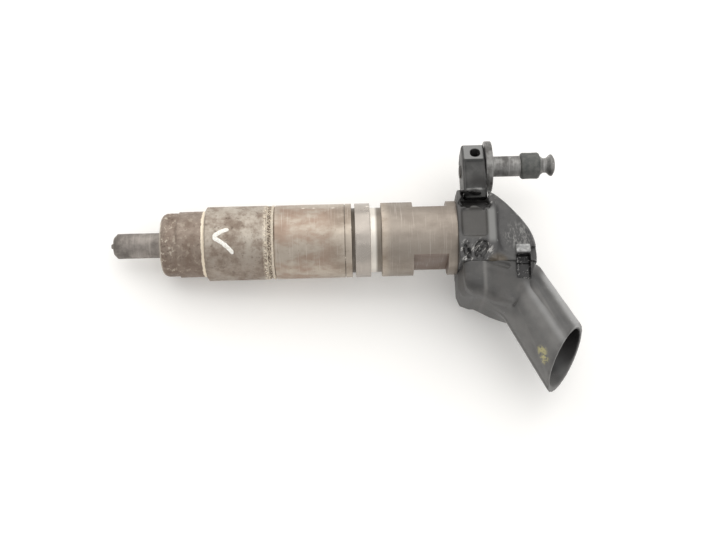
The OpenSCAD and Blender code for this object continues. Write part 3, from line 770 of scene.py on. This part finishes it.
def relaxed(points, faces, rounds):
    """Evens out the mesh: each point moves half way to the middle of its neighbours."""
    here = np.concatenate([faces[:, i] for i in range(4)])
    there = np.concatenate([faces[:, (i + 1) % 4] for i in range(4)])
    count = np.bincount(here, minlength=len(points))[:, None]
    for _ in range(rounds):
        total = np.stack([np.bincount(here, points[there, i], len(points)) for i in range(3)], 1)
        points = (points + total / count) / 2
    return points


def largest(points, faces):
    """Leaves out loose crumbs, and keeps the biggest connected part."""
    label = np.arange(len(points))
    while True:
        lowest = label[faces].min(1)
        new = label.copy()
        for side in range(4):
            np.minimum.at(new, faces[:, side], lowest)
        new = new[new]
        if (new == label).all():
            break
        label = new
    values, counts = np.unique(label, return_counts=True)
    keep = label == values[counts.argmax()]
    number = np.cumsum(keep) - 1
    faces = faces[keep[faces[:, 0]]]
    return points[keep], number[faces]


def chain(g, spots, r):
    """Capsules end to end."""
    return np.minimum.reduce([capsule(g, a, b, r) for a, b in zip(spots, spots[1:])])


# NOZZLE, NUT AND BODY

def retaining_nut():
    def crusted(x, r, angle):
        if r < 8.5 and x > 1.4 or r < 7.5:
            return r
        lump = rough_at(x, r, angle, 1.1, 3.0)
        wave = rough_at(x, r, angle, 5.0, 9.0)
        fine = rough_at(x, r, angle, 0.45, 14.0)
        crust = 0.09 if x < CRUST_END + 0.6 else 0.03
        ring = 0.12 * math.exp(-((x - NUT_STEP - 0.1) / 0.45) ** 2)
        return min(r + crust * (lump + fine) + 0.06 * wave + ring, NUT_R)
    outline = [
        (0, 4.6, 0), (0, 7.6, 0.3), (0.5, 8.3), (1.5, 8.8, 0.4), (CRUST_END, 8.8),
        (CRUST_END + 0.4, NUT_FRONT_R), (NUT_STEP - 0.2, NUT_FRONT_R), (NUT_STEP + 0.5, NUT_R),
        (NUT_END, NUT_R), (NUT_END, NUT_THREAD_R), (NUT_SHOULDER, NUT_THREAD_R), (NUT_SHOULDER, NUT_BORE_R),
        (NUT_FLOOR, NUT_BORE_R), (NUT_FLOOR, NUT_HOLE_R), (0, NUT_HOLE_R), (0, 4.6, 0)
    ]
    piece = turned("nut_shell", outline, nut_steel(), 0.25, 0.45, 180, crusted)
    stand_for(piece, "nut_steel", "retaining_nut")


def injector_body():
    """Turned, with two flats milled across the clamp slot."""
    def milled(x, r, angle):
        if SLOT[0] < x < SLOT[1] and r > FLAT_Y + 1:
            across = abs(math.cos(angle)) * r
            if across > FLAT_Y:
                return FLAT_Y / abs(math.cos(angle))
        if r > 9:
            return r + 0.025 * rough_at(x, r, angle, 1.6, 21.0)
        return r
    inset = BODY_R - GROOVE_DEPTH
    gap = 0.02
    neck, bore = PISTON_BORE
    outline = [
        (BODY_LOW.x, bore, 0), (BODY_LOW.x, BODY_NOSE[1]), BODY_NOSE, (BODY_NOSE[0], BODY_THREAD[1]),
        BODY_THREAD, (BODY_THREAD[0], BODY_NECK_R), (BODY_FRONT, BODY_NECK_R, 0.05),
        (BODY_FRONT + 0.4, BODY_R),
        (LINE_X, BODY_R, 0.06), (LINE_X, BODY_R - 0.25, 0),
        (LINE_X + 0.25, BODY_R - 0.25, 0), (LINE_X + 0.25, BODY_R, 0.06),
        (GROOVE_A[0], BODY_R, 0.15), (GROOVE_A[0], inset, 0.1),
        (GROOVE_A[1], inset, 0.1), (GROOVE_A[1], BODY_R, 0.15),
        (GROOVE_B[0], BODY_R, 0.15), (GROOVE_B[0], inset, 0.2),
        (GROOVE_B[1], inset, 0.2), (GROOVE_B[1], BODY_R, 0.2),
        (SLOT[0] - gap, BODY_R, 0), (SLOT[0] + gap, BODY_R, 0),
        (SLOT[1] - gap, BODY_R, 0), (SLOT[1] + gap, BODY_R, 0),
        (HEAD_X, BODY_R, 0.1), (HEAD_X, REAR_R), (REAR_TAPER, REAR_R, 0.1), (BODY_HIGH.x, BODY_END_R),
        (BODY_HIGH.x, ACTUATOR_BORE_R), (SLEEVE_BORE[0], ACTUATOR_BORE_R), SLEEVE_BORE,
        (neck, SLEEVE_BORE[1]), (neck, bore), (BODY_LOW.x, bore, 0)
    ]
    piece = turned("body_shell", outline, body_steel(), 0.15, 0.6, 240, milled)
    stand_for(piece, "body_steel", "injector_body")


def joint_crust():
    """Grit packed round the joint between nut and body."""
    def gritty(x, r, angle):
        if r < 9.9:
            return r
        fine = 0.28 * rough_at(x, r, angle, 0.55, 5.0)
        wave = 0.1 * rough_at(x, r, angle, 2.4, 8.0)
        return min(r + fine + wave, 10.5)
    outline = [
        (29.52, 9.82, 0), (29.52, 10.15, 0.05), (30.1, 10.0), (30.7, 9.98), (31.2, 10.2),
        (31.42, 10.1), (31.42, 9.82), (29.52, 9.82, 0)
    ]
    piece = turned("joint_crust", outline, crust_grit(), 0.08, 0.16, 300, gritty, sharp=80.0)
    stand_for(piece, "nut_steel")


def paint_tick():
    """Two brush strokes that meet at a point, on the near side of the nut."""
    apex, ends = (15.0, -1.3), ((19.4, 0.9), (20.5, -5.6))
    points, faces = [], []
    across, along = 7, 26
    for end in ends:
        start = len(points)
        way = Vector(end) - Vector(apex)
        side = Vector((-way.y, way.x)).normalized()
        for i in range(along + 1):
            t = i / along
            blunt = math.sqrt(max(0.02, 1 - (2 * max(0.0, abs(t - 0.5) - 0.38) / 0.24) ** 2))
            middle = Vector(apex) + way * t + side * 0.35 * math.sin(math.pi * t)
            wide = 0.55 * blunt * (1 + 0.2 * noise.noise(Vector((t * 9, end[0], 0))))
            for j in range(across):
                s = 2 * j / (across - 1) - 1
                x, y = middle + side * wide * s
                high = NUT_R + 0.03 + 0.12 * (1 - s * s) * blunt
                points.append((x, y, math.sqrt(max(high * high - y * y, 0.0))))
            for j in (across - 1, 0):
                s = 2 * j / (across - 1) - 1
                x, y = middle + side * wide * s
                points.append((x, y, math.sqrt(max((NUT_R - 0.12) ** 2 - y * y, 0.0))))
        ring = across + 2
        for i in range(along):
            for j in range(ring):
                k = (j + 1) % ring
                a, b = start + i * ring, start + (i + 1) * ring
                faces.append((a + j, a + k, b + k, b + j))
        faces.append([start + j for j in range(ring)])
        faces.append([start + along * ring + j for j in range(ring)][::-1])
    piece = place_mesh("paint_tick", points, faces, mark_paint(), 60.0)
    outward(piece)
    stand_for(piece, "nut_steel")


def inlet_stub():
    """The high-pressure inlet, with a rolled thread of 1.5 mm pitch."""
    pitch, depth = 1.5, 0.8
    start, end = -STUB_LOW.z, 10.9

    def threaded(x, r, angle):
        if r < INLET_R - 0.05 or not end + 0.4 < x < start - 0.9:
            return r
        turn = (x / pitch + angle / (2 * math.pi)) % 1
        fade = min(1.0, (x - end - 0.4) / 0.8, (start - 0.9 - x) / 0.5)
        return r - depth * fade * (1 - abs(2 * turn - 1))
    outline = [
        (8.3, 1.25, 0), (8.3, 4.95), (10.3, 4.95), (10.3, 5.8), (end, 5.8), (end + 0.02, INLET_R, 0.05),
        (start - 0.8, INLET_R), (start, 5.2), (start, 3.7), (start - 2.5, 1.25), (8.3, 1.25, 0)
    ]
    down = Matrix.Translation((INLET_X, 0, 0)) @ Matrix.Rotation(math.radians(90), 4, "Y")
    steel = worn_steel("stub_steel", srgb(172, 164, 154), srgb(222, 216, 208), srgb(122, 112, 101))
    piece = turned("inlet_shell", outline, steel, 0.15, 0.17, 96, threaded, down, 40.0)
    stand_for(piece, "body_steel", "inlet_stub")


# HEAD

def hollow(g):
    """The room inside the head for the tapered end of the body, the inlet and the leads."""
    end = REAR_TAPER + 4.34
    radius = np.interp(g[0], (REAR_TAPER + 0.04, BODY_HIGH.x + 0.05, end), (REAR_R + 0.05, 8.17, 5.0))
    bore = np.maximum(np.hypot(g[1], g[2]) - radius, g[0] - end)
    inlet = np.maximum(post(g, INLET_X, 0, INLET_R + 0.1), g[2])
    leads = [capsule(g, (90, y, 0), (95.2, y, 0), 0.55) for y in (-2, 2)]
    bends = [capsule(g, (95.2, y, 0), lead_end(y), 0.55) for y in (-2, 2)]
    return np.minimum.reduce([bore, inlet, *leads, *bends])


def lead_end(side):
    return SHROUD_BASE + SHROUD_ALONG * (SOCKET_FLOOR - 7.9) + SHROUD_ACROSS * side


def latch_pocket(g):
    low = (LATCH_LOW.x, SEAM_Y - 5, 6.4)
    high = (LATCH_HIGH.x, SEAM_Y + 1.8, 20)
    return slab(g, low, high, 0.3)


def scar(g, middle, radii, lean):
    """A melted loop: distances to its raised lip and to the dip inside it."""
    u = (g[0] - middle[0]) * math.cos(lean) + (g[1] - middle[1]) * math.sin(lean)
    v = (g[1] - middle[1]) * math.cos(lean) - (g[0] - middle[0]) * math.sin(lean)
    away = (np.hypot(u / radii[0], v / radii[1]) - 1) * min(radii)
    away = away + 0.6 * lumps(g, 1.2, int(10 * middle[0]))
    lip = np.hypot(away, g[2] - 10.0) - 0.35 - 0.3 * lumps(g, 1.0, 8)
    dip = np.maximum(away + 0.1, 9.2 - g[2] + 0.9 * lumps(g, 0.9, 6))
    return lip, dip


def head_cap():
    step = 0.28
    low, g = room(CAP_LOW, CAP_HIGH, 1, step)
    front = bar_section(g, HEAD_X, 92.0, -24, CAP_HIGH.y, HEAD_T, 4)
    rear = bar_section(g, HEAD_X + 7, 118, -24, CAP_HIGH.y + 4, HEAD_T - 1.2, 5)
    shape = join(front, rear, 0.8)
    shape = common(shape, post(g, *DOME), 3.2)
    flat = (g[0] - DOME[0]) * FLAT_WAY[0] + (g[1] - DOME[1]) * FLAT_WAY[1] - FLAT_CUT
    shape = common(shape, flat, 2.0)
    shape = cut(shape, slab(g, (92.3, 14.3, -20), (112, 30, 20)), 0.4)
    (x0, x1), (y0, y1), depth = PANEL
    shape = cut(shape, slab(g, (x0, y0, HEAD_T - depth), (x1, y1, 20), 0.6), 0.7)
    shape = join(shape, capsule(g, *RIB), 0.6)
    shape = join(shape, chain(g, RIDGE, RIDGE_R), 0.6)
    for spot in SCARS:
        lip, dip = scar(g, *spot)
        shape = join(cut(shape, dip, 0.4), lip, 0.5)
    for y in (-2.1, -2.9, -3.7):
        shape = join(shape, capsule(g, (94.5, y, 9.5), (95.7, y, 9.5), 0.28), 0.15)
    shape = shape + 0.05 * lumps(g, 2.2, 4)
    broken = pit(g, FRACTURE, 0.4) + 0.9 * lumps(g, 1.7, 11) + 0.4 * lumps(g, 0.7, 12)
    broken = np.maximum(broken, 0.7 - shaft(g, 0, 0, 9.35))
    shape = cut(shape, broken, 0.1)
    shape = cut(shape, pit(g, LUG, 0.3), 0.2)
    shape = cut(shape, capsule(g, *SLIT), 0.3)
    recess_low = (BLOCK_LOW.x - 0.1, BLOCK_LOW.y - 0.05, BLOCK_LOW.z - 0.05)
    recess_high = (BLOCK_HIGH.x + 0.1, 40, BLOCK_HIGH.z + 0.05)
    shape = cut(shape, slab(g, recess_low, recess_high))
    shape = cut(shape, latch_pocket(g), 0.15)
    shape = cut(shape, hollow(g))
    slope = g[2] - HEAD_T + 0.5 * np.clip((-6.0 - g[1]) / 3.6, 0, 1)
    shape = common(shape, slope, 0.3)
    shape = np.maximum.reduce([shape, SEAM_Y - 0.25 - g[1], g[2] - HEAD_T, HEAD_X - g[0]])
    piece = skin("head_shell", shape, low, step, cap_plastic())
    stand_for(piece, "head_plastic", "head_cap")


def connector_housing():
    step = 0.3
    low, g = room(HOUSING_LOW, HOUSING_HIGH, 1, step)
    seam = SEAM_Y - 0.05
    t = sum((v - b) * d for v, b, d in zip(g, SHROUD_BASE, SHROUD_ALONG))
    s = sum((v - b) * d for v, b, d in zip(g, SHROUD_BASE, SHROUD_ACROSS))
    outline = [
        (HEAD_X, seam + 6), (HEAD_X, -14.7), (HEAD_X + 1.05, -17.25), (HEAD_X + 3.6, -18.3), (86.6, -18.3),
        (91.3, -20.9), (96, -23.0), (102.5, -11), (103, seam + 6)
    ]
    base = bar_section(g, HEAD_X, 108, -23.4, 10, HOUSING_T, 3)
    base = common(base, prism(g[0], g[1], outline), 0.35 + 4.0 * np.clip(g[2] / 5, 0, 1))
    facet = (g[2] - HOUSING_T) + 0.13 * (g[0] - CREASE_X)
    base = common(base, facet, 1.0)
    reach = (t - BARREL[0]) / (BARREL[1] - BARREL[0])
    radius = SHROUD_R[0] + (SHROUD_R[1] - SHROUD_R[0]) * np.clip(reach, 0, 1)
    near = g[2] > 0
    radius = radius - 0.65 * np.exp(-((s - GROOVE_S) / 1.1) ** 2) * near
    (t0, s0), (t1, s1) = FACET_LINE
    line = s0 + (s1 - s0) * (t - t0) / (t1 - t0)
    radius = radius - 0.4 * np.clip((line - s) / 0.35 + 0.5, 0, 1) * near * (t > 12)
    barrel = np.maximum(np.hypot(s, g[2]) - radius, BARREL[0] - t)
    for mark_t, mark_s in ROUND_MARKS:
        high = math.sqrt(SHROUD_R[0] ** 2 - mark_s ** 2)
        barrel = join(barrel, np.hypot(np.hypot(t - mark_t, s - mark_s), g[2] - high + 0.35) - 0.75, 0.25)
    shape = join(base, barrel, 1.6)
    shape = join(shape, capsule(g, *LOWER_RIM), 0.5)
    shape = shape + 0.04 * lumps(g, 2.6, 5)
    shape = cut(shape, capsule(g, *SLIT), 0.3)
    n = MOUTH_NORMAL
    beyond = -(n[0] * (t - MOUTH_AT) + n[1] * s + n[2] * g[2])
    shape = cut(shape, beyond, 0.25)
    flare = np.clip((t - MOUTH_AT + 12) / 14, 0, 1)
    socket = np.hypot(s, g[2]) - (SOCKET_R + (SOCKET_MOUTH_R - SOCKET_R) * flare)
    shape = cut(shape, np.maximum(socket, SOCKET_FLOOR - t), 0.2)
    for side in (-2, 2):
        blade = np.maximum.reduce([abs(s - side) - 0.43, abs(g[2]) - 1.43, SOCKET_FLOOR - 8 - t])
        shape = cut(shape, blade)
    shape = cut(shape, latch_pocket(g), 0.15)
    shape = cut(shape, hollow(g))
    shape = np.maximum.reduce([shape, g[1] - seam, g[2] - HOUSING_T, HEAD_X - g[0]])
    piece = skin("connector_shell", shape, low, step, housing_plastic())
    stand_for(piece, "head_plastic", "connector_housing")


def connector_latch():
    step = 0.1
    low, g = room(LATCH_LOW, LATCH_HIGH, 0.5, step)
    shape = slab(g, LATCH_LOW, LATCH_HIGH, 0.3)
    middle = (LATCH_LOW.y + LATCH_HIGH.y) / 2
    high = LATCH_HIGH.z + 0.2
    groove = capsule(g, (LATCH_LOW.x, middle, high), (LATCH_HIGH.x, middle, high), 0.45)
    shape = cut(shape, groove, 0.2)
    paint = Paint("latch_plastic", Metallic=0.0)
    cloud = paint.speckle(1.2, 5.0, 0.6)
    grain = paint.speckle(0.2, 4.0, 0.6)
    colour = paint.mix(paint.step(cloud, 0.35, 0.7), srgb(176, 176, 175), srgb(120, 120, 119))
    material = paint.finish(colour, paint.step(cloud, 0.3, 0.7, 0.3, 0.5), grain, 0.03)
    stand_for(skin("latch_tab", shape, low, step, material), "latch_plastic", "connector_latch")


# RETURN CONNECTION

def return_block():
    step = 0.17
    low, g = room(BLOCK_LOW, BLOCK_HIGH, 0.6, step)
    outline = [
        (BLOCK_LOW.y, BLOCK_LOW.z), (BLOCK_HIGH.y - 2, BLOCK_LOW.z), (BLOCK_HIGH.y, BLOCK_LOW.z + 3),
        (BLOCK_HIGH.y, BEVEL[1]), (BEVEL[0], BLOCK_HIGH.z), (BLOCK_LOW.y, BLOCK_HIGH.z)
    ]
    shape = prism(g[1], g[2], outline)
    ends = np.maximum(BLOCK_LOW.x - g[0], g[0] - BLOCK_HIGH.x)
    shape = common(shape, ends, 0.9)
    panel = slab(g, (BLOCK_LOW.x + 1.0, 12.5, BLOCK_HIGH.z - 0.22), (BLOCK_HIGH.x - 0.9, 20.4, 20), 0.2)
    shape = cut(shape, panel, 0.8)
    shape = shape + 0.05 * lumps(g, 1.6, 7)
    way = np.array([0.0, math.sin(BEVEL_TILT), math.cos(BEVEL_TILT)])
    slope = np.array([0.0, math.cos(BEVEL_TILT), -math.sin(BEVEL_TILT)])
    for shift in (-0.25, 0.25):
        eye = np.array([BLOCK_LOW.x + 3.8, 23.33, 4.85]) + slope * shift
        shape = cut(shape, capsule(g, eye - way * 4, eye + way * 6, 1.3), 0.15)
    shape = cut(shape, np.maximum(shaft(g, NIPPLE_Y, 0, 1.2), BLOCK_LOW.x + 1 - g[0]))
    shape = cut(shape, np.maximum(shaft(g, NIPPLE_Y - 1.4, 0, 1.52), g[0] - BLOCK_LOW.x - 2.5))
    stand_for(skin("block_shell", shape, low, step, block_coat(), 60.0), "block_metal", "return_block")


def at_nipple(y):
    return Matrix.Translation((0, y, 0))


def return_nipple():
    x0, x1 = NIPPLE_LOW.x, NIPPLE_HIGH.x
    seat, grip = SLEEVE_LOW.x, SLEEVE_HIGH.x
    rim = NIPPLE_HIGH.y - NIPPLE_Y - 0.04
    outline = [
        (x0, 1.2, 0), (x0, rim), (x0 + 1.9, rim), (x0 + 1.95, 3.2, 0.3),
        (x0 + 2.6, 2.9, 0.3), (seat - 0.02, 2.9, 0.1), (seat, 2.5, 0.05), (grip, 2.5, 0.05),
        (grip + 0.05, 2.9, 0.1), (grip + 1, 2.1, 0.3), (108.6, 2.1, 0.3), (109.65, 3.1, 0.2),
        (110.2, 3.1, 0.2), (x1, 1.9, 0.2), (x1, 1.2), (x0, 1.2, 0)
    ]
    steel = worn_steel("nipple_steel", srgb(140, 139, 137), srgb(206, 205, 203), srgb(92, 90, 88), 0.7)

    def dented(x, r, angle):
        if r < 1.8:
            return r
        return r + 0.03 * rough_at(x, r, angle, 1.2, 30.0)
    piece = turned("nipple_tube", outline, steel, 0.25, 0.35, 96, dented, at_nipple(NIPPLE_Y))
    stand_for(piece, "nipple_steel", "return_nipple")


def nipple_sleeve():
    x0, x1, r = SLEEVE_LOW.x, SLEEVE_HIGH.x, SLEEVE_HIGH.y - NIPPLE_Y
    outline = [
        (x0, 2.53, 0), (x0, r - 0.4), (x0 + 0.5, r), (x0 + 2.6, r - 0.06, 0.5), (x1 - 0.5, r),
        (x1, r - 0.4), (x1, 2.53), (x0, 2.53, 0)
    ]
    piece = turned("sleeve_ring", outline, sleeve_rubber(), 0.3, 0.3, 96, None, at_nipple(NIPPLE_Y))
    stand_for(piece, "seal_rubber", "nipple_sleeve")


def block_plug():
    x0, x1 = PLUG_LOW.x, PLUG_HIGH.x
    middle = (PLUG_LOW.y + PLUG_HIGH.y) / 2
    outline = [
        (x0 + 0.25, 0, 0), (x0 + 0.25, 0.8), (x0, 1.0), (x0, 1.7), (x0 + 0.5, 1.95),
        (x0 + 0.5, 1.48, 0.02), (x1, 1.48), (x1, 0, 0)
    ]
    steel = worn_steel("plug_steel", srgb(98, 96, 93), srgb(170, 168, 164), srgb(62, 60, 58), 0.6)
    piece = turned("plug_cap", outline, steel, 0.1, 0.25, 64, None, at_nipple(middle))
    stand_for(piece, "block_metal", "block_plug")


# INNER PIECES keep their CAD shape and take procedural finishes

def inner_finishes():
    nozzle = (srgb(148, 141, 135), srgb(186, 180, 173), srgb(106, 100, 95))
    finishes = {"nozzle_steel": worn_steel("nozzle_steel", *nozzle, 0.6, (0.45, 0.68), 0.06)}
    plain = {
        "bright_steel": ((206, 205, 203), (180, 178, 175), 1.0, 0.25),
        "spring_steel": ((150, 150, 152), (120, 120, 122), 1.0, 0.35),
        "piezo_ceramic": ((176, 166, 142), (150, 138, 112), 0.0, 0.7),
        "seal_rubber": ((40, 42, 41), (58, 60, 58), 0.0, 0.65),
        "copper": ((206, 132, 96), (170, 98, 66), 1.0, 0.3),
        "brass_filter": ((198, 170, 108), (160, 130, 76), 1.0, 0.35),
        "terminal_brass": ((206, 190, 146), (168, 150, 108), 1.0, 0.35),
    }
    for name, (base, dark, metallic, rough) in plain.items():
        finishes[name] = plain_inner(name, srgb(*base), srgb(*dark), metallic, rough)
    slots = {row["node"]: row["material_slot"] for row in frame["record"]["subparts"]}
    for name, node in NODES.items():
        if not node.hide_render:
            node.data.materials.clear()
            node.data.materials.append(finishes[slots[name]])


# FLOOR, LIGHT AND CAMERA

FLOOR_TILT = math.radians(5.45)
FLOOR_LEVEL = -9.08
AIM = Vector((52.9, -8.23, -2.36))
DISTANCE = 336.0
ROLL = math.radians(16.0)
TURN = math.radians(1.5)
VIEW_ANGLE = math.radians(32.8)
WORLD_STRENGTH = 0.72
FLOOR_REACH = 2500.0
FLOOR_CELLS = 24


def table_floor():
    """A flat sheet that the nut and the inlet rest on."""
    up = Vector((math.sin(FLOOR_TILT), 0, math.cos(FLOOR_TILT)))
    along = Vector((math.cos(FLOOR_TILT), 0, -math.sin(FLOOR_TILT)))
    across = Vector((0, 1, 0))
    middle = up * FLOOR_LEVEL + along * 50
    count, row = FLOOR_CELLS, FLOOR_CELLS + 1
    points = [
        middle + along * FLOOR_REACH * (2 * i / count - 1) + across * FLOOR_REACH * (2 * j / count - 1)
        for i in range(row) for j in range(row)
    ]
    faces = [
        (i * row + j, (i + 1) * row + j, (i + 1) * row + j + 1, i * row + j + 1)
        for i in range(count) for j in range(count)
    ]
    floor = place_mesh("table_floor", points, faces, floor_white())


def soft_light(name, direction, distance, size, watts, colour=(1, 1, 1)):
    lamp = bpy.data.lights.new(name, "AREA")
    lamp.energy = watts
    lamp.size = size * MM
    lamp.color = colour
    holder = bpy.data.objects.new(name, lamp)
    bpy.context.scene.collection.objects.link(holder)
    way = Vector(direction).normalized()
    holder.location = (AIM + way * distance) * MM
    holder.rotation_euler = way.to_track_quat("Z", "Y").to_euler()


def studio():
    world = bpy.data.worlds.new("studio")
    bpy.context.scene.world = world
    world.use_nodes = True
    sky = world.node_tree.nodes["Background"].inputs
    sky["Color"].default_value = (1.0, 0.995, 0.985, 1.0)
    sky["Strength"].default_value = WORLD_STRENGTH
    soft_light("key", (-0.1, 0.75, 0.9), 900, 1300, 6.0, (1.0, 0.985, 0.96))
    soft_light("fill", (0.5, -0.2, 1.0), 1000, 900, 1.5)
    bpy.context.scene.view_settings.view_transform = "Standard"


def camera():
    right = Vector((1, 0, 0)) * math.cos(TURN) - Vector((0, math.cos(ROLL), math.sin(ROLL))) * math.sin(TURN)
    back = Vector((0, -math.sin(ROLL), math.cos(ROLL)))
    up = back.cross(right)
    lens = bpy.data.cameras.new("photo_view")
    lens.sensor_fit = "HORIZONTAL"
    lens.angle = VIEW_ANGLE
    lens.clip_start = 0.01
    holder = bpy.data.objects.new("photo_view", lens)
    bpy.context.scene.collection.objects.link(holder)
    turned_axes = Matrix((right, up, back)).transposed().to_4x4()
    holder.matrix_world = Matrix.Translation((AIM + back * DISTANCE) * MM) @ turned_axes
    bpy.context.scene.camera = holder


camera()
studio()
table_floor()
retaining_nut()
injector_body()
joint_crust()
paint_tick()
inlet_stub()
head_cap()
connector_housing()
connector_latch()
return_block()
return_nipple()
nipple_sleeve()
block_plug()
inner_finishes()
